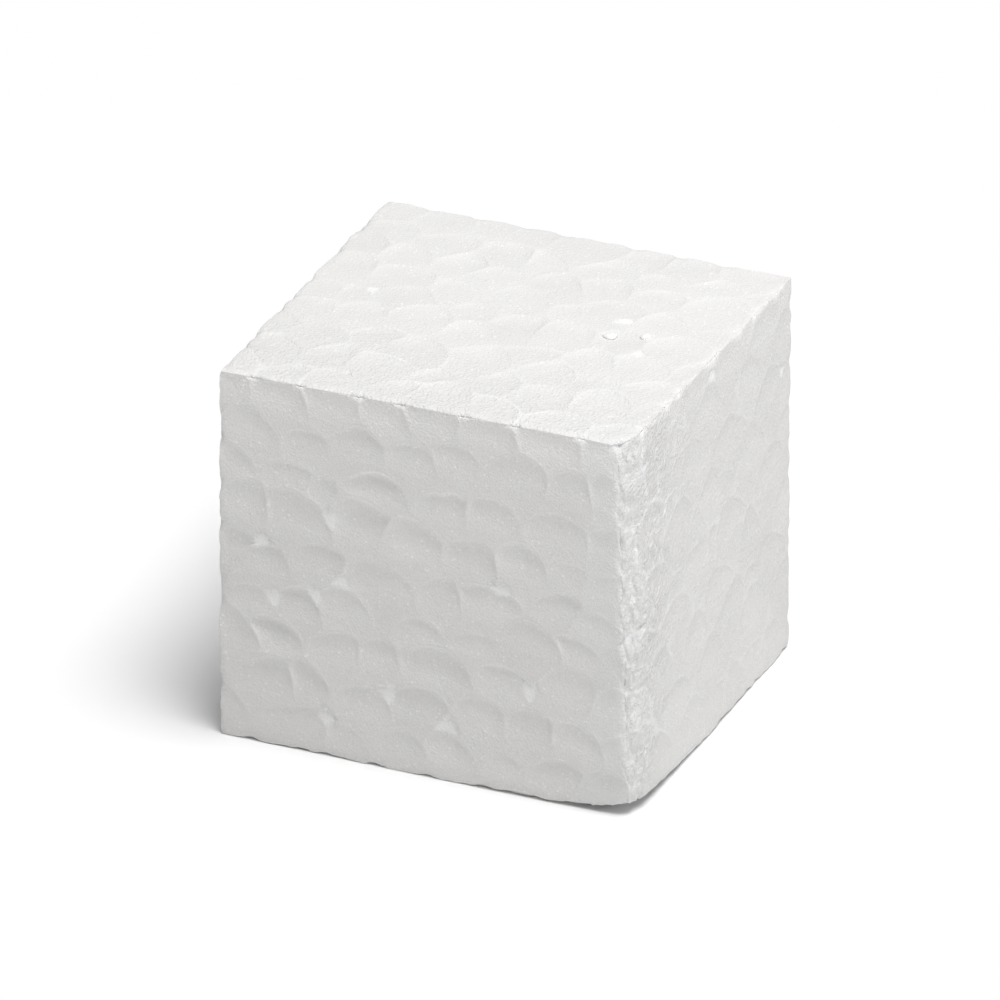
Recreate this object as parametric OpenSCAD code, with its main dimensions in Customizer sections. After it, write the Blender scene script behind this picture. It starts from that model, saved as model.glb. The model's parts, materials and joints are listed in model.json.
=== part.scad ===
// A small hand-cut block of white expanded-polystyrene bead foam.
//
// The block is several hundred puffed beads, fused in rows when it was moulded.
// Each bead is a solid of its own: the space nearer to its centre than to any
// other bead's, less half a hairline on each side, and trimmed by the block's
// cut faces where it reaches them. The beads are grouped by their place:
// corners, edges, faces, and three bands of inner beads.
//
// Origin: the middle of the base. +X right, +Y to the back, +Z up. Millimetres.

/* [Block] */
// Overall width, left to right
block_w = 31; // [20:0.5:60]
// Overall depth, front to back
block_d = 28; // [20:0.5:60]
// Overall height
block_h = 28; // [20:0.5:60]

/* [Cut faces] */
// Degrees that the front cut leans in towards the top (an overhang if negative)
front_lean = -1.3; // [-3:0.1:3]
// Degrees that the back cut leans in towards the top
back_lean = -1.3; // [-3:0.1:3]
// Degrees that the left cut leans in towards the top
left_lean = 1.3; // [-3:0.1:3]
// Degrees that the right cut leans in towards the top
right_lean = 1.1; // [-3:0.1:3]
// Degrees that the front cut is turned about the upright
front_turn = 0.7; // [-3:0.1:3]
// Degrees that the back cut is turned about the upright
back_turn = -0.6; // [-3:0.1:3]
// Degrees that the left cut is turned about the upright
left_turn = 0.9; // [-3:0.1:3]
// Degrees that the right cut is turned about the upright
right_turn = -1; // [-3:0.1:3]
// Degrees that the top cut falls towards the back
top_fall_back = 0.4; // [-2:0.1:2]
// Degrees that the top cut falls towards the left
top_fall_left = 0.4; // [-2:0.1:2]

/* [Worn corner] */
// Width worn off the front face along the front right upright edge
upright_wear_front = 1.6; // [0.5:0.1:3]
// Width worn off the right face along the same edge
upright_wear_side = 3.2; // [0.5:0.1:4]
// Degrees that this worn strip leans in towards the top
upright_wear_lean = 0.9; // [-2:0.1:2]
// Length worn off the bottom front edge, from the front right corner
corner_wear_front = 5; // [1:0.5:8]
// Length worn off the bottom right edge, from the same corner
corner_wear_side = 9; // [1:0.5:12]
// Height worn off the upright edge at the same corner
corner_wear_up = 1.1; // [0.2:0.1:2]

/* [Beads] */
// Width of a bead, left to right
bead_w = 3.7; // [2.6:0.1:4.4]
// Depth of a bead, front to back
bead_d = 3.1; // [2.6:0.1:4.4]
// Height of a bead
bead_h = 3.1; // [2.6:0.1:4.4]
// How far a bead may sit off its place in the row, as a share of its size
bead_stray = 0.3; // [0:0.02:0.32]
// How far a wall may move towards the smaller of its two beads
bead_mix = 0.2; // [0:0.02:0.24]
// Hairline between two beads
bead_gap = 0.04; // [0.02:0.01:0.1]
// Number of the packing pattern
packing = 11; // [1:1:99]

/* [Hidden] */

// Places along each axis: the first bead of a row, the last, or any between
low = -1;
between = 0;
high = 1;
inner_bands = 3;

// Beads along each axis, and the step from one to the next
count = [round(block_w / bead_w), round(block_d / bead_d), round(block_h / bead_h)];
step = [block_w / count.x, block_d / count.y, block_h / count.z];
// Every other row is set off by half a step, a quarter to each side
row_shift = 0.25;
// Steps along each axis within which two beads may share a wall
reach = [2, 2.5, 2.5];
// Length that no bead spans, and the side of the cube that stands for all that
// lies behind a wall
span = max([for (a = [0:2]) reach[a] * step[a]]);
slab = 4 * span;

strays = rands(-bead_stray, bead_stray, 3 * count.x * count.y * count.z, packing);
sizes = rands(0, bead_mix, count.x * count.y * count.z, packing + 1);

function serial(p) = (p.z * count.y + p.y) * count.x + p.x;
function shift(p) = (p.y + p.z) % 2 == 0 ? -row_shift : row_shift;
function centre(p) = [
    (p.x + 0.5 + shift(p) + strays[3 * serial(p)]) * step.x - block_w / 2,
    (p.y + 0.5 + strays[3 * serial(p) + 1]) * step.y - block_d / 2,
    (p.z + 0.5 + strays[3 * serial(p) + 2]) * step.z
];
function exists(p) = min(p) >= 0 && p.x < count.x && p.y < count.y && p.z < count.z;
function place(n, of) = n == 0 ? low : n == of - 1 ? high : between;
function band(row) = floor((row - 1) * inner_bands / (count.z - 2));

// A cut is an outward normal, and its distance from the origin. It touches the
// block's overall box at one corner of that side, and falls inside it elsewhere.
half = [block_w, block_d, block_h] / 2;
middle = [0, 0, block_h / 2];
function upright_normal(turn, lean) = [cos(turn) * cos(lean), sin(turn) * cos(lean), sin(lean)];
function cut(normal, axis) =
    let (n = normal / norm(normal), size = [for (a = [0:2]) abs(n[a]) * half[a]])
    [n, n * middle + 2 * size[axis] - size.x - size.y - size.z];
function cut_at(point, normal) = let (n = normal / norm(normal)) [n, n * point];

// The worn strip takes off the front right upright edge, and the worn corner its foot
foot = [block_w / 2, -block_d / 2, 0];
strip_normal = upright_normal(atan2(-upright_wear_front, upright_wear_side), upright_wear_lean);
corner_front = foot - [corner_wear_front, 0, 0];
corner_side = foot + [0, corner_wear_side, 0];
corner_up = foot + [0, 0, corner_wear_up];
cuts = [
    cut(upright_normal(front_turn - 90, front_lean), 1),
    cut(upright_normal(back_turn + 90, back_lean), 1),
    cut(upright_normal(left_turn + 180, left_lean), 0),
    cut(upright_normal(right_turn, right_lean), 0),
    cut([-tan(top_fall_left), tan(top_fall_back), 1], 2),
    [[0, 0, -1], 0],
    cut_at([foot.x - upright_wear_front, foot.y, block_h / 2], strip_normal),
    cut_at(corner_front, cross(corner_side - corner_front, corner_up - corner_front))
];

// The walls of a bead, each as an outward normal and a distance from its centre
function bead_walls(p) = [
    for (k = [-2:2], j = [-2:2], i = [-2:2])
        let (q = p + [i, j, k])
        if (q != p && exists(q))
            let (way = centre(q) - centre(p), far = norm(way))
            if (norm([for (a = [0:2]) way[a] / step[a] / reach[a]]) < 1)
                [way / far, (far - bead_gap) / 2 + sizes[serial(p)] - sizes[serial(q)]]
];
function cut_walls(p) = [
    for (c = cuts)
        let (far = c[1] - c[0] * centre(p))
        if (far < span) [c[0], far]
];

// All that lies behind a wall
module behind(wall) {
    translate(wall[1] * wall[0])
        rotate([0, acos(wall[0].z), atan2(wall[0].y, wall[0].x)])
            translate([-slab / 2, -slab / 2, -slab])
                cube(slab);
}

module bead(p) {
    translate(centre(p))
        intersection_for (wall = concat(bead_walls(p), cut_walls(p)))
            behind(wall);
}

// The beads that lie at one place along each axis
module beads_at(x, y, z) {
    for (k = [0:count.z - 1], j = [0:count.y - 1], i = [0:count.x - 1])
        if (place(i, count.x) == x && place(j, count.y) == y && place(k, count.z) == z)
            bead([i, j, k]);
}

// One band of the beads that reach no cut face
module inner_band(n) {
    for (k = [1:count.z - 2], j = [1:count.y - 2], i = [1:count.x - 2])
        if (band(k) == n)
            bead([i, j, k]);
}

left = low;
right = high;
front = low;
back = high;
bottom = low;
top = high;

module top_front_left_corner_bead() { color("white") beads_at(left, front, top); }
module top_front_right_corner_bead() { color("white") beads_at(right, front, top); }
module top_back_left_corner_bead() { color("white") beads_at(left, back, top); }
module top_back_right_corner_bead() { color("white") beads_at(right, back, top); }
module bottom_front_left_corner_bead() { color("white") beads_at(left, front, bottom); }
module bottom_front_right_corner_bead() { color("white") beads_at(right, front, bottom); }
module bottom_back_left_corner_bead() { color("white") beads_at(left, back, bottom); }
module bottom_back_right_corner_bead() { color("white") beads_at(right, back, bottom); }
module top_front_edge_beads() { color("snow") beads_at(between, front, top); }
module top_back_edge_beads() { color("snow") beads_at(between, back, top); }
module top_left_edge_beads() { color("snow") beads_at(left, between, top); }
module top_right_edge_beads() { color("snow") beads_at(right, between, top); }
module bottom_front_edge_beads() { color("snow") beads_at(between, front, bottom); }
module bottom_back_edge_beads() { color("snow") beads_at(between, back, bottom); }
module bottom_left_edge_beads() { color("snow") beads_at(left, between, bottom); }
module bottom_right_edge_beads() { color("snow") beads_at(right, between, bottom); }
module front_left_edge_beads() { color("snow") beads_at(left, front, between); }
module front_right_edge_beads() { color("snow") beads_at(right, front, between); }
module back_left_edge_beads() { color("snow") beads_at(left, back, between); }
module back_right_edge_beads() { color("snow") beads_at(right, back, between); }
module front_face_beads() { color("whitesmoke") beads_at(between, front, between); }
module back_face_beads() { color("whitesmoke") beads_at(between, back, between); }
module left_face_beads() { color("whitesmoke") beads_at(left, between, between); }
module right_face_beads() { color("whitesmoke") beads_at(right, between, between); }
module top_face_beads() { color("whitesmoke") beads_at(between, between, top); }
module bottom_face_beads() { color("whitesmoke") beads_at(between, between, bottom); }
module lower_inner_beads() { color("ghostwhite") inner_band(0); }
module middle_inner_beads() { color("ghostwhite") inner_band(1); }
module upper_inner_beads() { color("ghostwhite") inner_band(2); }

top_front_left_corner_bead();
top_front_right_corner_bead();
top_back_left_corner_bead();
top_back_right_corner_bead();
bottom_front_left_corner_bead();
bottom_front_right_corner_bead();
bottom_back_left_corner_bead();
bottom_back_right_corner_bead();
top_front_edge_beads();
top_back_edge_beads();
top_left_edge_beads();
top_right_edge_beads();
bottom_front_edge_beads();
bottom_back_edge_beads();
bottom_left_edge_beads();
bottom_right_edge_beads();
front_left_edge_beads();
front_right_edge_beads();
back_left_edge_beads();
back_right_edge_beads();
front_face_beads();
back_face_beads();
left_face_beads();
right_face_beads();
top_face_beads();
bottom_face_beads();
lower_inner_beads();
middle_inner_beads();
upper_inner_beads();
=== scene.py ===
"""A small hand-cut block of white expanded-polystyrene bead foam.

Every bead of the block is a closed mesh of its own, grown from the bead's solid in the frame. Where it
reaches a cut face it gets a fine mesh with the dished, rimmed section that a cut bead has, and elsewhere it
keeps its flat walls. The beads inside the block stay as the frame has them.
Lengths are in metres, in the frame's own axes: +X right, +Y back, +Z up.
"""

import json
import math

import bmesh
import bpy
import numpy as np
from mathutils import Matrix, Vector


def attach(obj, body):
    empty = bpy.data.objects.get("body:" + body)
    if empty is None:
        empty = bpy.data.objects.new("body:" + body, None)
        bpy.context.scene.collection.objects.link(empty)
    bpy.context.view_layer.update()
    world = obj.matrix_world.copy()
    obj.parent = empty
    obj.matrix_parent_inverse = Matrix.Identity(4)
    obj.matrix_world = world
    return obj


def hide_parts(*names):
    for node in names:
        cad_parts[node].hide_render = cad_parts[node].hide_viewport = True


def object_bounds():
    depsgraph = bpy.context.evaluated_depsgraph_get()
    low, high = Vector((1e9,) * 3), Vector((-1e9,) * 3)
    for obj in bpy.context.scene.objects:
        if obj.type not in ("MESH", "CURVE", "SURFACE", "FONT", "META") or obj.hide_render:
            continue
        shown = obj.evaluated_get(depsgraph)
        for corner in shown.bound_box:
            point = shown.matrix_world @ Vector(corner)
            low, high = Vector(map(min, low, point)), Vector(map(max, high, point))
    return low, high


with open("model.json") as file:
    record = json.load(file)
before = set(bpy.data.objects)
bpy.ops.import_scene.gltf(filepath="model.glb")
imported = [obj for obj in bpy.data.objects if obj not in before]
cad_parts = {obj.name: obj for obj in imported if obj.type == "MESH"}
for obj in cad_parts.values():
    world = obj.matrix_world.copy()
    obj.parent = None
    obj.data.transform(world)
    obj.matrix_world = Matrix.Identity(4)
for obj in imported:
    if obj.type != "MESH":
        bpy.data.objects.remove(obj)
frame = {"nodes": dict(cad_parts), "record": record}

CAD_BOX = [list(corner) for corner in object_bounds()]

# ------------------------------------------------------------------------------------------------------ sizes
MM = 0.001
UP = np.array([0.0, 0.0, 1.0])
BACK = np.array([0.0, 1.0, 0.0])

WELD = 0.001 * MM            # CAD points nearer than this are one point
FLAT = 0.003 * MM            # a point this near a plane lies in it
SAME_CUT = 0.015 * MM        # faces in parallel planes nearer than this lie in one cut
JOIN = 0.2 * MM              # section corners nearer than this are one junction
TOUCH = 0.15 * MM            # a junction this near a rim belongs to it
RIM_STEP = 0.2 * MM          # between two points along a bead's rim
RING_STEP = 0.23 * MM        # between two rings of a cut section
RIM_RINGS = (0.025, 0.065)   # extra rings close to the rim, as shares of the way to the middle
FREE_AT = 0.12               # share of the way to the middle at which a section is free of its rim
SKIRT = 0.22 * MM            # depth of the fine strip below a rim
PINCH = 0.01 * MM            # how far that strip pulls in towards the bead's middle

DISH = (0.08 * MM, 0.17 * MM)    # depth of a cut section below its rim
STEP = 0.06 * MM                 # sharp drop just inside an upper rim
LEAN = (0.1, 0.75, 1.85)         # share of that depth at the lower rim, half way up and at the upper rim
LIP = 0.01 * MM                  # how far the rim stands up
LIP_WIDTH = 0.07 * MM            # and how wide it is
TILT = 0.014                     # random slope of a section inside its rim
DOME = 0.15                      # how far an upper rim bows up into the next bead, for its length
BOW = 0.08                       # random bow of any rim, for its length
OPEN_EDGE = 0.15                 # share of a section's depth that is left where it runs out over a block edge
GAP = (0.6 * MM, 1.05 * MM)      # reach of the flat gap that a few junctions kept, painted bright
GAP_KEPT = {"front": (0.085, 1.0), "top": (0.012, 0.65)}  # share of a cut's junctions that did, and how big
OTHER_GAP_KEPT = (0.025, 0.65)   # the same on every other cut but the worn ones
GAP_SLOPE = 0.1                  # how much such a gap leans up towards the light
RELIEF = {  # how strong the relief of each cut is: strongest on the front, where the beads show best
    "front": 1.0,
    "back": 0.75,
    "left": 0.3,
    "right": 0.3,
    "top": 0.45,
    "base": 0.75,
    "worn": 0.75,
}
SOFT_EDGE = 0.12 * MM            # rounding of the block's own edges
NOTCH = 0.26 * MM                # depth of the notches in those edges between two beads
NOTCH_REACH = (0.22 * MM, 0.4 * MM)  # how far a notch runs in from the edge, and to each side
RAGGED = 0.12 * MM               # how unevenly those edges were cut
FINE = 0.01 * MM                 # height of the cut's fine grain
BROAD = 0.05 * MM                # and of its broad waves
CREASE = 0.05 * MM               # and of the creases of crushed foam
CREASE_SIZE = (1.1 * MM, 0.7 * MM, 1.6 * MM)  # and how far apart these creases are

WORN_LEVEL = 0.12 * MM           # how deep the crushed surface of the worn cuts lies
WORN_EDGE = 1.6                  # how much rounder the edges of the worn cuts are
FRONT_EDGE = 1.2                 # and the edge between the front and the top
EDGE_BAND = 0.8 * MM             # how fast that extra roundness falls off
WORN_REACH = (4.0 * MM, 11.0 * MM)  # how far the crushing spreads over the right side, low down and high up
STREAK = (0.32 * MM, 0.32 * MM, 0.9 * MM)  # size of the crushed streaks on the worn strip
STREAK_DEPTH = 0.1 * MM          # and their depth
SKIN = 0.35 * MM                 # how far below a cut its crushing and wear reach
TOP_CRUSH = (0.12, 0.55)         # how crushed the top's grain is behind its middle, and at its front
TOP_CRUSH_REACH = 13 * MM        # from that middle to the front
SIDE_CRUSH = 0.25                # the same for the right side
PAINTED_SHADE = (0.12, 0.05)              # painted shade: how much darker the foam is painted at its foot, and at its left end

FLAKES = {  # loose flakes on the top, by the node that carries them: (x, y) and half sizes, in millimetres
    "top_face_beads": [
        ((7.15, 2.85), (0.62, 0.45, 0.17)),
        ((7.25, 0.6), (0.55, 0.4, 0.16)),
        ((9.45, 1.4), (0.42, 0.36, 0.17)),
    ],
}
FLAKE_SKIN_AND_GLOW = 0.9                 # share of the lighter colour a flake gets, partly the beads' smoother outer wall and partly painted glow; at most that on a crushed rim; a gap gets 1

FOAM = (0.9, 0.892, 0.882)       # colours: of most cuts, the worn cuts, the inner beads, and the lighter colour of gaps, flakes and crushed rims, partly the beads' smoother outer wall and partly painted glow and highlight
WORN_FOAM = (0.905, 0.9, 0.895)
INNER_FOAM = (0.92, 0.915, 0.91)
SKIN_AND_GLOW_FOAM = (0.97, 0.967, 0.962)
BEAD_TONE = (0.94, 1.035)        # tone of the darkest and the lightest bead
BEAD_SHARE = 0.35                # share of that tone that goes by bead; the rest goes by cloud
GRAIN = 0.15 * MM                # size of the foam's cells, and on the worn cuts
WORN_GRAIN = 0.13 * MM
CLOUD = 2.5 * MM                 # size of the soft clouds of tone
WRINKLE = 0.4 * MM               # size of the wrinkles of crushed foam, and of its folds
FOLD = 0.2 * MM
FOLD_TURN = -0.9                 # slant of the folds, in radians about the x axis
FOLD_STRETCH = 2.6               # how much longer than wide a fold is
BUMP = 0.03 * MM                 # height of the grain
FLOOR = 4.0                      # from the block to the floor's edge


# ------------------------------------------------------------------------------------------------------ noise
def value_noise(points, size, seed):
    """Smooth noise from -1 to 1 at these points, with bumps of that size (one, or one for each axis)."""
    q = points / np.asarray(size)
    cell = np.floor(q).astype(np.int64)
    part = q - cell
    part = part * part * (3 - 2 * part)
    total = np.zeros(len(points))
    for corner in np.ndindex(2, 2, 2):
        at = cell + corner
        h = (at[:, 0] * 73856093) ^ (at[:, 1] * 19349663) ^ (at[:, 2] * 83492791) ^ (seed * 49979687)
        h = ((h ^ (h >> 15)) * 2246822519) & 0xFFFFFFFF
        h = ((h ^ (h >> 13)) * 3266489917) & 0xFFFFFFFF
        value = ((h ^ (h >> 16)) & 0xFFFF) / 32767.5 - 1
        total += value * np.prod(np.where(corner, part, 1 - part), axis=1)
    return total


def rough(points, size, seed, octaves=3):
    """Noise with finer and finer bumps, each half as high as the last."""
    return sum(value_noise(points, np.asarray(size) / 2**n, seed + n) / 2**n for n in range(octaves))


# -------------------------------------------------------------------------------------------- the CAD's beads
def unit(v):
    return v / np.linalg.norm(v)


def welded(mesh):
    """A CAD mesh's points and triangles, with the points that share a place joined."""
    co = np.empty(3 * len(mesh.vertices))
    mesh.vertices.foreach_get("co", co)
    mesh.calc_loop_triangles()
    tri = np.empty(3 * len(mesh.loop_triangles), dtype=np.int64)
    mesh.loop_triangles.foreach_get("vertices", tri)
    keys = np.round(co.reshape(-1, 3) / WELD).astype(np.int64)
    _, first, same = np.unique(keys, axis=0, return_index=True, return_inverse=True)
    tri = same.reshape(-1)[tri].reshape(-1, 3)
    whole = (tri[:, 0] != tri[:, 1]) & (tri[:, 1] != tri[:, 2]) & (tri[:, 2] != tri[:, 0])
    return co.reshape(-1, 3)[first], tri[whole]


def separate(points, tri):
    """The loose beads of a mesh, each as (points, triangles)."""
    label = np.arange(len(points))
    while True:
        low = label[tri].min(axis=1)
        new = label.copy()
        for k in range(3):
            np.minimum.at(new, tri[:, k], low)
        new = new[new]
        if (new == label).all():
            break
        label = new
    for mark in np.unique(label[tri]):
        mine = tri[label[tri[:, 0]] == mark]
        used, index = np.unique(mine, return_inverse=True)
        yield points[used], index.reshape(-1, 3)


def flat_faces(points, tri):
    """The flat faces of one convex bead, each as (outward normal, its distance out, loop of corners)."""
    a, b, c = (points[tri[:, k]] for k in range(3))
    cross = np.cross(b - a, c - a)
    area = np.linalg.norm(cross, axis=1)
    faces, left = [], np.ones(len(tri), bool)
    for t in np.argsort(-area):
        if not left[t]:
            continue
        n = unit(cross[t])
        d = n @ points[tri[t, 0]]
        mine = left & (np.abs(points[tri] @ n - d).max(axis=1) < FLAT) & (cross @ n >= 0)
        left &= ~mine
        edges = {edge for f in tri[mine] for edge in zip(f, np.roll(f, -1))}
        follow = {x: y for x, y in edges if (y, x) not in edges}
        start = min(follow)
        loop = [start]
        while follow[loop[-1]] != start:
            loop.append(follow[loop[-1]])
        faces.append((n, d, loop))
    return faces


def read_beads(names):
    """{node: its beads}, each as (points, flat faces)."""
    beads = {}
    for name in names:
        mesh = frame["nodes"][name].data
        beads[name] = [(p, flat_faces(p, t)) for p, t in separate(*welded(mesh))]
    return beads


def find_cuts(beads):
    """The block's own cut planes: those that no point of it lies beyond."""
    every = np.concatenate([p for group in beads.values() for p, _ in group])
    cuts = []
    for group in beads.values():
        for _, faces in group:
            for n, d, _ in faces:
                known = any(n @ m > 0.99999 and abs(d - e) < SAME_CUT for m, e in cuts)
                if not known and (every @ n).max() - d < SAME_CUT:
                    cuts.append((n, d))
    return cuts


# --------------------------------------------------------------------------------------- the block as a whole
def side_name(n):
    """Which side of the block a cut with this outward normal is; the worn cuts face no side squarely."""
    axis = int(np.argmax(np.abs(n)))
    if abs(n[axis]) < 0.99:
        return "worn"
    return (("left", "right"), ("front", "back"), ("base", "top"))[axis][int(n[axis] > 0)]


def way_up(n):
    """Which way is up on a cut with this normal; on the top and the base that is to the back."""
    return UP if abs(n[2]) < 0.7 else BACK


def falling(distance, reach):
    """1 at no distance, and less and less beyond it."""
    return np.exp(-distance / reach)


class Block:
    """The block's cut planes, and what they say about a point on its surface."""

    def __init__(self, cuts):
        self.normal = np.array([n for n, _ in cuts])
        self.offset = np.array([d for _, d in cuts])
        self.side = [side_name(n) for n in self.normal]
        self.worn = [i for i, side in enumerate(self.side) if side == "worn"]
        self.front_top = [self.side.index("front"), self.side.index("top")]

    def index(self, n, d):
        """Which cut a face lies in, or -1."""
        fits = (self.normal @ n > 0.9999) & (np.abs(self.offset - d) < SAME_CUT)
        return int(np.argmax(fits)) if fits.any() else -1

    def on_top(self, x, y):
        """(the point of the top over x and y, the top's normal)."""
        top = self.side.index("top")
        n = self.normal[top]
        return np.array([x, y, (self.offset[top] - n[0] * x - n[1] * y) / n[2]]), n

    def off(self, points):
        """How far each point is from each cut."""
        return np.abs(points @ self.normal.T - self.offset)

    def crush(self, points):
        """How crushed the foam's grain is at these points of the surface, 0 to 1."""
        near_front = np.clip(-points[:, 1] / TOP_CRUSH_REACH, 0, 1)
        on_top = TOP_CRUSH[0] + (TOP_CRUSH[1] - TOP_CRUSH[0]) * near_front
        share = {"worn": 1.0, "top": on_top, "right": SIDE_CRUSH}
        total = self.beside(points)
        for side, off in zip(self.side, self.off(points).T):
            if side in share:
                total = np.maximum(total, share[side] * falling(off, SKIN))
        return total

    def beside(self, points):
        """How far the crushing of the worn strip still shows at these points of the right side, 0 to 1."""
        off = self.off(points)
        strip = max(self.worn, key=lambda i: self.normal[i, 0])
        along = off[:, strip] / abs(self.normal[strip, 1])
        reach = WORN_REACH[0] + (WORN_REACH[1] - WORN_REACH[0]) * points[:, 2] / CAD_BOX[1][2]
        spread = 1.3 - 1.3 * along / reach + 0.35 * value_noise(points, 1.6 * MM, 71)
        return np.clip(spread, 0, 1) * falling(off[:, self.side.index("right")], SKIN)

    def shade(self, points):
        """Painted shade: the foam's colour is a touch darker low down and to the left, where the floor lights
        it less.
        """
        up = (points[:, 2] - CAD_BOX[0][2]) / (CAD_BOX[1][2] - CAD_BOX[0][2])
        across = (points[:, 0] - CAD_BOX[0][0]) / (CAD_BOX[1][0] - CAD_BOX[0][0])
        return 1 - PAINTED_SHADE[0] * (1 - up) - PAINTED_SHADE[1] * (1 - across)

    def soften(self, points):
        """(inward step, outward normal) for points on the surface: its edges are rounded and a bit ragged."""
        off = self.off(points)
        size = 1 + 0.5 * value_noise(points, 1.3 * MM, 5)
        size += WORN_EDGE * falling(off[:, self.worn].min(axis=1), EDGE_BAND)
        size += FRONT_EDGE * falling(off[:, self.front_top].sum(axis=1), EDGE_BAND)
        size = SOFT_EDGE * size[:, None]
        reach = (points @ self.normal.T - self.offset) / size
        weight = np.exp(reach)
        depth = size[:, 0] * np.log(weight.sum(axis=1))
        out = weight @ self.normal
        out /= np.linalg.norm(out, axis=1)[:, None]
        edge = np.clip(weight.sum(axis=1) - 1, 0, 1)
        bite = RAGGED * edge * np.clip(0.3 + rough(points, 1.1 * MM, 21), 0, 1.5)
        return -(depth + bite)[:, None] * out, out


# --------------------------------------------------------------------------------- where the beads' rims meet
class Seams:
    """The junctions where cut sections meet, and one curve for each rim between two, shared by its beads."""

    def __init__(self, block, beads):
        self.block, self.curves, self.passed, self.junction = block, {}, {}, {}
        place, on = [], []
        for name, group in beads.items():
            for b, (points, faces) in enumerate(group):
                cuts = {}
                for n, d, loop in faces:
                    cut = block.index(n, d)
                    if cut >= 0:
                        for v in loop:
                            cuts.setdefault(v, set()).add(cut)
                for v, mine in cuts.items():
                    self.junction[name, b, v] = len(place)
                    place.append(points[v])
                    on.append(frozenset(mine))
        place = np.array(place)
        label = self.cluster(place)
        marks, index = np.unique(label, return_inverse=True)
        self.place, self.on = [], []
        for k in range(len(marks)):
            members = np.flatnonzero(index == k)
            most = max(len(on[m]) for m in members)
            best = [m for m in members if len(on[m]) == most]
            self.place.append(place[best].mean(axis=0))
            self.on.append(on[best[0]])
        self.place = np.array(self.place)
        self.junction = {key: int(index[k]) for key, k in self.junction.items()}
        every_cut = range(len(block.offset))
        self.members = {c: np.array([k for k, cuts in enumerate(self.on) if c in cuts]) for c in every_cut}
        self.gap_reach = self.gap_reaches()

    def cluster(self, place):
        """A label for each point, the same for points that are chained by steps shorter than JOIN."""
        square = (place**2).sum(axis=1)
        near = square[:, None] + square - 2 * place @ place.T < JOIN**2
        label = np.arange(len(place))
        while True:
            new = np.array([label[row].min() for row in near])
            if (new == label).all():
                return label
            label = new

    def gap_reaches(self):
        """How far the gap at each junction reaches: only a few junctions inside a face kept one."""
        chance = 0.5 + 0.5 * value_noise(self.place, 0.9 * MM, 31)
        reach = np.zeros(len(self.place))
        for cut, members in self.members.items():
            side = self.block.side[cut]
            inside = [k for k in members if len(self.on[k]) == 1]
            if side == "worn" or not inside:
                continue
            share, size = GAP_KEPT.get(side, OTHER_GAP_KEPT)
            kept = [k for k in inside if chance[k] > np.quantile(chance[inside], 1 - share)]
            bigger = 0.5 + 0.5 * value_noise(self.place[kept], 1.3 * MM, 32)
            reach[kept] = size * (GAP[0] + (GAP[1] - GAP[0]) * bigger)
        return reach

    def stops(self, a, b, cut):
        """The junctions from a to b along a straight edge of a section, with those that touch it between."""
        if (a, b, cut) in self.passed:
            return self.passed[a, b, cut]
        start, end = self.place[a], self.place[b]
        size = np.linalg.norm(end - start)
        others = self.members[cut]
        t = (self.place[others] - start) @ (end - start) / size**2
        off = np.linalg.norm(self.place[others] - start - t[:, None] * (end - start), axis=1)
        on = others[(off < TOUCH) & (t * size > 0.5 * JOIN) & ((1 - t) * size > 0.5 * JOIN)]
        rank = np.argsort((self.place[on] - start) @ (end - start))
        self.passed[a, b, cut] = [a, *(int(k) for k in on[rank]), b]
        return self.passed[a, b, cut]

    def curve(self, a, b, cut, rim):
        """The line from junction a to b: (on the flat cut, where it lies now). Its two beads share it."""
        low, high = min(a, b), max(a, b)
        key = (low, high, cut if rim else -1)
        if key not in self.curves:
            self.curves[key] = self.bent(low, high, self.block.normal[cut], rim)
        plain, place = self.curves[key]
        return (plain, place) if a == low else (plain[::-1], place[::-1])

    def bent(self, a, b, n, rim):
        start, end = self.place[a], self.place[b]
        size = np.linalg.norm(end - start)
        t = np.linspace(0, 1, max(2, math.ceil(size / RIM_STEP) + 1))[:, None]
        plain = start + (end - start) * t
        if not rim:
            return plain, plain
        side = np.cross(n, (end - start) / size)
        rise = way_up(n)
        strong = 1.0 if side_name(n) == "front" else 0.6
        amount = strong * DOME * (side @ rise) + BOW * value_noise(0.5 * (start + end)[None], 0.7 * MM, 41)[0]
        return plain, plain + side * amount * size * 4 * t * (1 - t)


# --------------------------------------------------------------------------------------------------- one bead
def around_loop(loop):
    """The edges round a loop of corners, in order."""
    return list(zip(loop, loop[1:] + loop[:1]))


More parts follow.
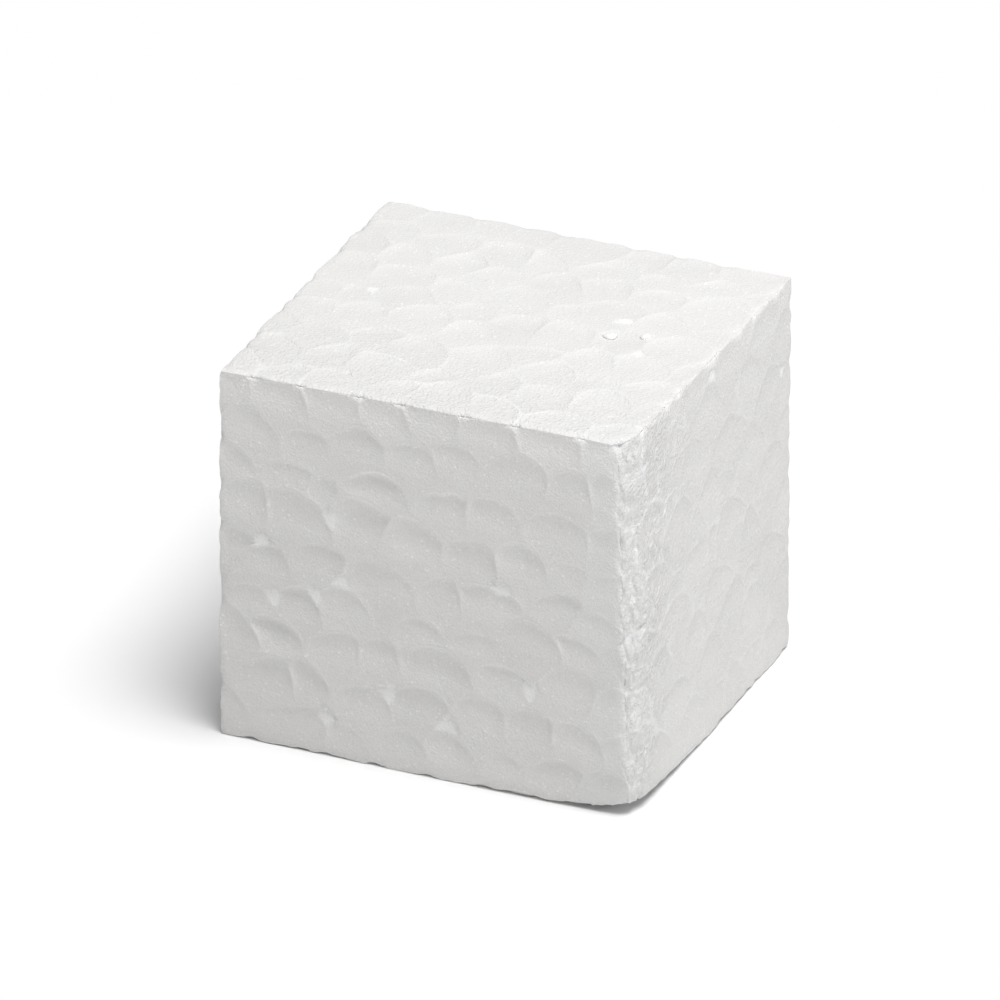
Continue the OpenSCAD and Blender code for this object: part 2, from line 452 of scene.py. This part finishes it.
class Bead:
    """Builds one bead's mesh: fine cut sections, a fine strip below each rim, and flat walls inside."""

    def __init__(self, block, seams, key, points, faces, rng):
        self.block, self.seams, self.corner = block, seams, points
        self.faces = [(n, d, loop, block.index(n, d)) for n, d, loop in faces]
        self.middle = points.mean(axis=0)
        self.plain, self.place, self.free, self.polygons = [], [], [], []
        self.chains, self.heads = {}, {}
        self.owner = {edge: f for f, (_, _, loop, _) in enumerate(self.faces) for edge in around_loop(loop)}
        self.cuts = {}
        for _, _, loop, cut in self.faces:
            if cut >= 0:
                for v in loop:
                    self.cuts.setdefault(v, set()).add(cut)
        self.junction = {v: seams.junction[(*key, v)] for v in self.cuts}
        self.dish = rng.uniform(*DISH)
        self.slope = rng.normal(0, TILT, 3)
        self.near_gaps = self.find_gaps()
        self.walls = [(n, d) for n, d, loop, cut in self.faces
                      if cut < 0 and any(self.is_rim(y, x) for x, y in around_loop(loop))]

    def find_gaps(self):
        """The junctions with a gap that may reach this bead, cut by cut."""
        reach = np.linalg.norm(self.corner - self.middle, axis=1).max() + GAP[1]
        kept = []
        for cut in sorted(set().union(*self.cuts.values())):
            for k in self.seams.members[cut]:
                near = np.linalg.norm(self.seams.place[k] - self.middle) < reach
                if near and self.seams.gap_reach[k] > 0:
                    kept.append(k)
        return kept

    def is_cut(self, f):
        return self.faces[f][3] >= 0

    def is_rim(self, x, y):
        return self.is_cut(self.owner[x, y]) and not self.is_cut(self.owner[y, x])

    def add(self, plain, place, free=0.0):
        """Adds points: their places on the plain bead and now, and how free they are of the rim, 0 to 1."""
        start = sum(len(p) for p in self.plain)
        self.plain.append(np.atleast_2d(plain))
        self.place.append(np.atleast_2d(place))
        self.free.append(np.zeros(len(self.plain[-1])) + free)
        return list(range(start, start + len(self.plain[-1])))

    def run(self, x, y):
        """The line from corner x to y of a section, through every junction on it: (plain, now)."""
        cut = self.faces[self.owner[x, y]][3]
        a, b = self.junction[x], self.junction[y]
        if a == b:
            at = self.seams.place[a][None]
            return at, at
        stops = self.seams.stops(a, b, cut)
        parts = [self.seams.curve(p, q, cut, self.is_rim(x, y)) for p, q in zip(stops, stops[1:])]
        return tuple(np.concatenate([part[k][i > 0:] for i, part in enumerate(parts)]) for k in (0, 1))

    def outline(self, f):
        """The ids of the points round one cut section, in order. Each edge of the bead is made once."""
        loop = self.faces[f][2]
        ids = []
        for x in loop:
            if x not in self.heads:
                here = self.seams.place[self.junction[x]]
                self.heads[x] = self.add(here, here)[0]
        for x, y in around_loop(loop):
            if (x, y) not in self.chains:
                plain, place = self.run(x, y)
                free = 0.0 if self.is_rim(x, y) else OPEN_EDGE
                inner = self.add(plain[1:-1], place[1:-1], free) if len(plain) > 2 else []
                chain = [self.heads[x], *inner, self.heads[y]]
                self.chains[x, y] = chain
                if not self.is_rim(x, y):
                    self.chains[y, x] = chain[::-1]
            ids += self.chains[x, y][:-1]
        return ids

    def section(self, f):
        """One cut section: rings from its outline in to its middle."""
        ids = self.outline(f)
        plain, place, free = (np.concatenate(rows)[ids] for rows in (self.plain, self.place, self.free))
        centre, centre_now = plain.mean(axis=0), place.mean(axis=0)
        radius = np.linalg.norm(plain - centre, axis=1).mean()
        rings = max(2, round(radius / RING_STEP))
        last = ids
        for t in [*RIM_RINGS, *np.linspace(0, 1, rings + 1)[1:-1]]:
            off_rim = np.minimum(1, free + t / FREE_AT)
            now = self.add(plain + (centre - plain) * t, place + (centre_now - place) * t, off_rim)
            for k in range(len(ids)):
                m = (k + 1) % len(ids)
                self.polygons.append((last[k], last[m], now[m], now[k]))
            last = now
        hub = self.add(centre, centre_now, 1.0)[0]
        self.polygons += [(last[k], last[(k + 1) % len(last)], hub) for k in range(len(last))]

    def skirt(self):
        """The strip below the rims, and {rim point: the point under it}."""
        down, depth = {}, {}
        for (x, y), chain in self.chains.items():
            if not self.is_rim(x, y):
                continue
            n = self.faces[self.owner[x, y]][0]
            m = self.faces[self.owner[y, x]][0]
            way = unit(-n + m * (n @ m))
            for v in chain:
                down[v] = down.get(v, 0) + way
            ends = [self.drop(x), self.drop(y)]
            for v, s in zip(chain, np.linspace(ends[0], ends[1], len(chain))):
                depth[v] = min(depth.get(v, 1), s)
        rim = sorted(down)
        plain, place = np.concatenate(self.plain)[rim], np.concatenate(self.place)[rim]
        step = np.array([unit(down[v]) * depth[v] for v in rim])
        inward = (self.middle - place) * (PINCH / np.linalg.norm(self.middle - place, axis=1))[:, None]
        under = dict(zip(rim, self.add(plain, place + step + inward)))
        for (x, y), chain in self.chains.items():
            if self.is_rim(x, y):
                self.polygons += [(b, a, under[a], under[b]) for a, b in zip(chain, chain[1:])]
        return under

    def drop(self, v):
        """How deep the strip may go at a corner: less than half of the shortest wall edge there."""
        sizes = [np.linalg.norm(self.corner[y] - self.corner[x]) for x, y in self.owner
                 if x == v and not self.is_cut(self.owner[x, y]) and not self.is_cut(self.owner[y, x])]
        return min([SKIRT] + [0.4 * s for s in sizes])

    def build(self):
        """(points, polygons, skin_and_glow) of the finished bead."""
        if not self.cuts:
            return self.corner, [loop for _, _, loop, _ in self.faces], np.ones(len(self.corner))
        for f in range(len(self.faces)):
            if self.is_cut(f):
                self.section(f)
        fine = sum(len(p) for p in self.plain)
        under = self.skirt()
        deep = {v: self.add(p, p)[0] for v, p in enumerate(self.corner) if v not in self.cuts}
        for _, _, loop, cut in self.faces:
            if cut < 0:
                self.wall(loop, under, deep)
        plain, place = np.concatenate(self.plain), np.concatenate(self.place)
        moved = self.relief(plain[:fine], np.concatenate(self.free)[:fine])
        place[:fine] += moved
        for v, low in under.items():
            place[low] += moved[v]
        # painted glow and highlight: gaps, flakes and rims on crushed cuts get a lighter colour, partly for
        # the beads' smoother outer wall and partly for light shining through the foam and catching the rims
        skin_and_glow = np.ones(len(plain))
        line = np.exp(-((self.from_walls(plain[:fine]) / LIP_WIDTH) ** 2)) * self.block.crush(plain[:fine])
        line *= np.clip(0.5 + 1.5 * value_noise(plain[:fine], 1.5 * MM, 81), 0, 1)
        skin_and_glow[:fine] = np.maximum(self.flat_gap(plain[:fine])[0], np.minimum(1.4 * line, FLAKE_SKIN_AND_GLOW))
        return place, self.polygons, skin_and_glow

    def wall(self, loop, under, deep):
        """One flat wall, as a fan round its middle."""
        ids = []
        for x, y in around_loop(loop):
            if (y, x) in self.chains and self.is_rim(y, x):
                ids += [under[v] for v in self.chains[y, x][::-1]][:-1]
            else:
                ids.append(deep[x] if x in deep else under[self.heads[x]])
        ids = list(dict.fromkeys(ids))
        place = np.concatenate(self.place)[ids]
        hub = self.add(place.mean(axis=0), place.mean(axis=0))[0]
        self.polygons += [(ids[k], ids[(k + 1) % len(ids)], hub) for k in range(len(ids))]

    def from_walls(self, plain):
        """Distance from the nearest wall that reaches the surface, smoothly."""
        k = 0.22 * MM
        far = np.array([d - plain @ n for n, d in self.walls])
        return np.maximum(-k * np.log(np.exp(-far / k).sum(axis=0)), 0)

    def flat_gap(self, plain):
        """(how much each point belongs to a flat gap between the beads, how high it lies there)."""
        share, level = np.zeros(len(plain)), np.zeros(len(plain))
        walls = self.from_walls(plain)
        for k in self.near_gaps:
            off = plain - self.seams.place[k]
            reach = self.seams.gap_reach[k]
            rise = way_up(self.block.normal[min(self.seams.on[k])])
            mine = np.clip((0.8 * (reach - np.linalg.norm(off, axis=1)) - walls) / (0.1 * MM), 0, 1)
            level = np.where(mine > share, -GAP_SLOPE * (off @ rise + reach), level)
            share = np.maximum(share, mine)
        return share, level

    def relief(self, plain, free):
        """How each point of the cut sections moves from the flat cut; on a rim, by its place alone."""
        block = self.block
        step, out = block.soften(plain)
        off = block.off(plain)
        strong = np.array([RELIEF[side] for side in block.side])[off.argmin(axis=1)]
        walls = self.from_walls(plain)
        radius = max(walls.max(), 0.3 * MM)
        rise = np.where(np.abs(out[:, 2:]) < 0.7, UP, BACK)
        rel = plain - self.middle
        up = (rel * rise).sum(axis=1)
        lean = np.interp(up / (1.4 * MM), (-0.6, 0, 1), LEAN)
        from_edge = np.sort(off, axis=1)[:, 1]
        inside = 1 - falling(from_edge, 0.6 * MM)
        bowl = inside * (1 - (1 - np.minimum(walls / radius, 1)) ** 2)
        height = -strong * free * bowl * (lean * self.dish * min(1, radius / (1.1 * MM)) + rel @ self.slope)
        upper = np.clip(up / (0.9 * MM), 0, 1)
        height -= strong * free * STEP * upper * inside * (1 - np.exp(-((walls / (0.1 * MM)) ** 2)))
        height += strong * LIP * inside * np.exp(-((walls / LIP_WIDTH) ** 2))
        height -= NOTCH * np.exp(-from_edge / NOTCH_REACH[0] - (walls / NOTCH_REACH[1]) ** 2)
        height += FINE * rough(plain, 0.5 * MM, 51) + BROAD * value_noise(plain, 6 * MM, 52)
        height += CREASE * block.crush(plain) * rough(plain, CREASE_SIZE, 53)
        worn = falling(off[:, block.worn].min(axis=1), SKIN)
        streaks = STREAK_DEPTH * rough(plain, STREAK, 61)
        torn = -WORN_LEVEL + streaks + 0.1 * MM * value_noise(plain, 1.2 * MM, 62)
        height = height * (1 - worn) + np.minimum(torn, 0.0) * worn
        height += 0.7 * block.beside(plain) * np.minimum(streaks - 0.02 * MM, 0.0)
        share, level = self.flat_gap(plain)
        height = height * (1 - share) + level * share
        return step + out * height[:, None]


def flake(at, out, size, seed):
    """A loose flake of foam that lies half sunk in the surface: (points, polygons)."""
    shape = bmesh.new()
    bmesh.ops.create_icosphere(shape, subdivisions=3, radius=1.0)
    ball = np.array([v.co for v in shape.verts])
    polygons = [tuple(v.index for v in f.verts) for f in shape.faces]
    shape.free()
    turn = np.random.default_rng(seed).uniform(0, 2 * math.pi)
    side = unit(np.cross(out, (math.cos(turn), math.sin(turn), 0.3)))
    axes = np.array([side, np.cross(out, side), out])
    lumps = 1 + 0.2 * rough(ball, 0.9, seed)
    return at + (ball * lumps[:, None] * np.array(size)) @ axes, polygons


# -------------------------------------------------------------------------------------------------- materials
def new_material(name):
    material = bpy.data.materials.new(name)
    material.use_nodes = True
    return material, material.node_tree.nodes, material.node_tree.links


def feed(links, value, socket):
    """Gives a socket a plain value, or what another socket gives."""
    if isinstance(value, bpy.types.NodeSocket):
        links.new(value, socket)
    else:
        socket.default_value = value


def texture(nodes, links, kind, vector, size, **inputs):
    """A texture with features of this size."""
    node = nodes.new("ShaderNodeTex" + kind)
    node.inputs["Scale"].default_value = 1 / size
    for name, value in inputs.items():
        node.inputs[name].default_value = value
    links.new(vector, node.inputs["Vector"])
    return node


def stored(nodes, name):
    """What a piece's mesh holds under this name for each of its points."""
    node = nodes.new("ShaderNodeAttribute")
    node.attribute_name = name
    return node.outputs["Fac"]


def ramp(nodes, links, factor, stops):
    """A grey that runs through these (position, grey) stops."""
    node = nodes.new("ShaderNodeValToRGB")
    elements = node.color_ramp.elements
    elements[0].position, elements[1].position = stops[0][0], stops[-1][0]
    for position, _ in stops[1:-1]:
        elements.new(position)
    for element, (_, grey) in zip(elements, stops):
        element.color = (grey, grey, grey, 1)
    links.new(factor, node.inputs["Fac"])
    return node.outputs["Color"]


def mixed(nodes, links, how, a, b, factor=1.0):
    """A colour mix of a and b."""
    node = nodes.new("ShaderNodeMix")
    node.data_type, node.blend_type = "RGBA", how
    for value, socket in ((factor, node.inputs[0]), (a, node.inputs[6]), (b, node.inputs[7])):
        feed(links, value, socket)
    return node.outputs[2]


def worked_out(nodes, links, operation, *values):
    """A sum, a product or the like."""
    node = nodes.new("ShaderNodeMath")
    node.operation = operation
    for value, socket in zip(values, node.inputs):
        feed(links, value, socket)
    return node.outputs[0]


def foam(name, colour, grain, bump):
    """White bead foam: fine closed cells, a tone that differs a little by bead, and a lighter colour, partly
    the beads' smoother outer wall and partly painted glow and highlight.
    """
    material, nodes, links = new_material(name)
    shader = nodes["Principled BSDF"]
    shader.inputs["Roughness"].default_value = 0.72
    shader.inputs["Specular IOR Level"].default_value = 0.25
    at = nodes.new("ShaderNodeTexCoord").outputs["Object"]
    cells = texture(nodes, links, "Voronoi", at, grain)
    links.new(foam_colour(nodes, links, colour, at, cells), shader.inputs["Base Color"])
    relief = nodes.new("ShaderNodeBump")
    relief.inputs["Strength"].default_value = bump
    relief.inputs["Distance"].default_value = BUMP
    links.new(foam_height(nodes, links, at, cells), relief.inputs["Height"])
    links.new(relief.outputs["Normal"], shader.inputs["Normal"])
    return material


def foam_colour(nodes, links, colour, at, cells):
    """Tone by bead and by cloud, darker cell edges, a few cells painted lighter as glint highlights, the
    lighter colour of gaps, flakes and crushed rims (partly the beads' smoother outer wall, partly painted
    glow and highlight), and painted shade low down and to the left.
    """
    clouds = texture(nodes, links, "Noise", at, CLOUD, Detail=4)
    by_bead = nodes.new("ShaderNodeNewGeometry").outputs["Random Per Island"]
    by_cloud = worked_out(nodes, links, "MULTIPLY", clouds.outputs["Fac"], 1 - BEAD_SHARE)
    tone = worked_out(nodes, links, "MULTIPLY_ADD", by_bead, BEAD_SHARE, by_cloud)
    dark, light = ((*(c * k for c in colour), 1) for k in BEAD_TONE)
    shown = mixed(nodes, links, "MIX", dark, light, tone)
    edges = ramp(nodes, links, cells.outputs["Distance"], [(0.0, 1.0), (0.45, 0.965), (1.0, 0.91)])
    shown = mixed(nodes, links, "MULTIPLY", shown, edges)
    # painted highlight: a few cells painted lighter than the foam as glint highlights
    painted_glints = ramp(nodes, links, cells.outputs["Color"], [(0.0, 1.0), (0.87, 1.0), (0.89, 1.09), (1.0, 1.12)])
    shown = mixed(nodes, links, "MULTIPLY", shown, painted_glints)
    # painted glow and highlight: mixes in the lighter colour by skin_and_glow
    shown = mixed(nodes, links, "MIX", shown, (*SKIN_AND_GLOW_FOAM, 1), stored(nodes, "skin_and_glow"))
    # painted shade: the colour is darkened low down and to the left
    return mixed(nodes, links, "MULTIPLY", shown, stored(nodes, "shade"))


def foam_height(nodes, links, at, cells):
    """The cells, and the wrinkles and slanting folds of crushed foam."""
    wrinkles = texture(nodes, links, "Noise", at, WRINKLE, Detail=4, Distortion=0.6)
    slant = nodes.new("ShaderNodeMapping")
    slant.vector_type = "TEXTURE"
    slant.inputs["Rotation"].default_value = (FOLD_TURN, 0, 0)
    slant.inputs["Scale"].default_value = (1, 1, FOLD_STRETCH)
    links.new(at, slant.inputs["Vector"])
    folds = texture(nodes, links, "Noise", slant.outputs["Vector"], FOLD, Detail=2, Distortion=0.5)
    crush = stored(nodes, "crush")
    height = cells.outputs["Distance"]
    for grain, strength in ((wrinkles, 5.0), (folds, 8.0)):
        crushed = worked_out(nodes, links, "MULTIPLY", grain.outputs["Fac"], crush)
        height = worked_out(nodes, links, "MULTIPLY_ADD", crushed, strength, height)
    return height


def floor_material():
    material, nodes, links = new_material("floor")
    shader = nodes["Principled BSDF"]
    shader.inputs["Roughness"].default_value = 0.9
    noise = nodes.new("ShaderNodeTexNoise")
    noise.inputs["Scale"].default_value = 40
    tone = ramp(nodes, links, noise.outputs["Fac"], [(0.0, 0.92), (1.0, 0.94)])
    links.new(tone, shader.inputs["Base Color"])
    return material


# ------------------------------------------------------------------------------------------------- the pieces
def make_piece(node, beads, block, seams, material, rng):
    """One Blender piece for one CAD node: all of the node's beads, and the flakes that lie on them."""
    parts = [Bead(block, seams, (node, b), *bead, rng).build() for b, bead in enumerate(beads)]
    for (x, y), size in FLAKES.get(node, []):
        made = sum(len(points) for points, _, _ in parts)
        points, polygons = flake(*block.on_top(x * MM, y * MM), [k * MM for k in size], made)
        parts.append((points, polygons, np.full(len(points), FLAKE_SKIN_AND_GLOW)))
    starts = np.cumsum([0] + [len(points) for points, _, _ in parts]).tolist()
    polygons = [tuple(v + start for v in polygon)
                for start, part in zip(starts, parts) for polygon in part[1]]
    points = np.concatenate([part[0] for part in parts])
    points[:, 2] = np.maximum(points[:, 2], CAD_BOX[0][2])
    mesh = bpy.data.meshes.new(node + "_cut")
    mesh.from_pydata(points.tolist(), [], polygons)
    skin_and_glow = np.concatenate([part[2] for part in parts])
    for name, values in (("skin_and_glow", skin_and_glow), ("crush", block.crush(points)), ("shade", block.shade(points))):
        mesh.attributes.new(name, "FLOAT", "POINT").data.foreach_set("value", values)
    mesh.shade_smooth()
    mesh.set_sharp_from_angle(angle=math.radians(50))
    mesh.materials.append(material)
    piece = bpy.data.objects.new(node + "_cut", mesh)
    bpy.context.collection.objects.link(piece)
    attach(piece, "root")
    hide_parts(node)
    return piece


def make_block():
    """The cut beads as new pieces, and a material on the inner beads, which stay as the frame has them."""
    materials = {
        "cut_foam": foam("cut_foam", FOAM, GRAIN, 1.0),
        "edge_foam": foam("edge_foam", FOAM, GRAIN, 1.0),
        "worn_foam": foam("worn_foam", WORN_FOAM, WORN_GRAIN, 1.0),
        "inner_foam": foam("inner_foam", INNER_FOAM, GRAIN, 0.5),
    }
    slots = {row["node"]: row["material_slot"] for row in frame["record"]["subparts"]}
    names = sorted(frame["nodes"])
    shown = [name for name in names if slots[name] != "inner_foam"]
    beads = read_beads(shown)
    block = Block(find_cuts(beads))
    seams = Seams(block, beads)
    rng = np.random.default_rng(7)
    for name in shown:
        piece = make_piece(name, beads[name], block, seams, materials[slots[name]], rng)
    for name in names:
        if name not in beads:
            for slot in frame["nodes"][name].material_slots:
                slot.material = materials["inner_foam"]


# --------------------------------------------------------------------------------------- floor, light, camera
def make_floor():
    mesh = bpy.data.meshes.new("floor")
    corners = [(x * FLOOR, y * FLOOR, CAD_BOX[0][2]) for x, y in ((-1, -1), (1, -1), (1, 1), (-1, 1))]
    mesh.from_pydata(corners, [], [(0, 1, 2, 3)])
    mesh.materials.append(floor_material())
    floor = bpy.data.objects.new("floor", mesh)
    bpy.context.collection.objects.link(floor)


def aim(thing, at, target):
    thing.location = at
    thing.rotation_euler = (Vector(target) - Vector(at)).to_track_quat("-Z", "Y").to_euler()


def around(azimuth, elevation, distance, centre):
    """A place seen from the centre at that azimuth (0 in front, 90 on the right), elevation and distance."""
    a, e = math.radians(azimuth), math.radians(elevation)
    way = Vector((math.sin(a) * math.cos(e), -math.cos(a) * math.cos(e), math.sin(e)))
    return Vector(centre) + way * distance


def make_sun(name, azimuth, elevation, strength, spread):
    """A large distant soft light."""
    data = bpy.data.lights.new(name, "SUN")
    data.energy, data.angle = strength, math.radians(spread)
    light = bpy.data.objects.new(name, data)
    bpy.context.collection.objects.link(light)
    aim(light, around(azimuth, elevation, 0.5, (0, 0, 0)), (0, 0, 0))


def make_studio():
    make_sun("key", 66, 72, 2.84, 30)
    world = bpy.data.worlds.new("studio")
    world.use_nodes = True
    world.node_tree.nodes["Background"].inputs["Color"].default_value = (1, 1, 1, 1)
    world.node_tree.nodes["Background"].inputs["Strength"].default_value = 0.228
    bpy.context.scene.world = world
    bpy.context.scene.view_settings.view_transform = "Standard"


def make_camera():
    azimuth, elevation, distance = 23.5, 27.93, 0.558
    width = CAD_BOX[1][0] - CAD_BOX[0][0]
    target = Vector((0, 0, width / 2))
    data = bpy.data.cameras.new("camera")
    data.lens, data.sensor_width = 301.1, 36
    data.clip_start, data.clip_end = 0.05, 10
    data.shift_x, data.shift_y = -0.0055, -0.0146
    camera = bpy.data.objects.new("camera", data)
    bpy.context.collection.objects.link(camera)
    aim(camera, around(azimuth, elevation, distance, target), target)
    bpy.context.scene.camera = camera


make_camera()
make_block()
make_floor()
make_studio()
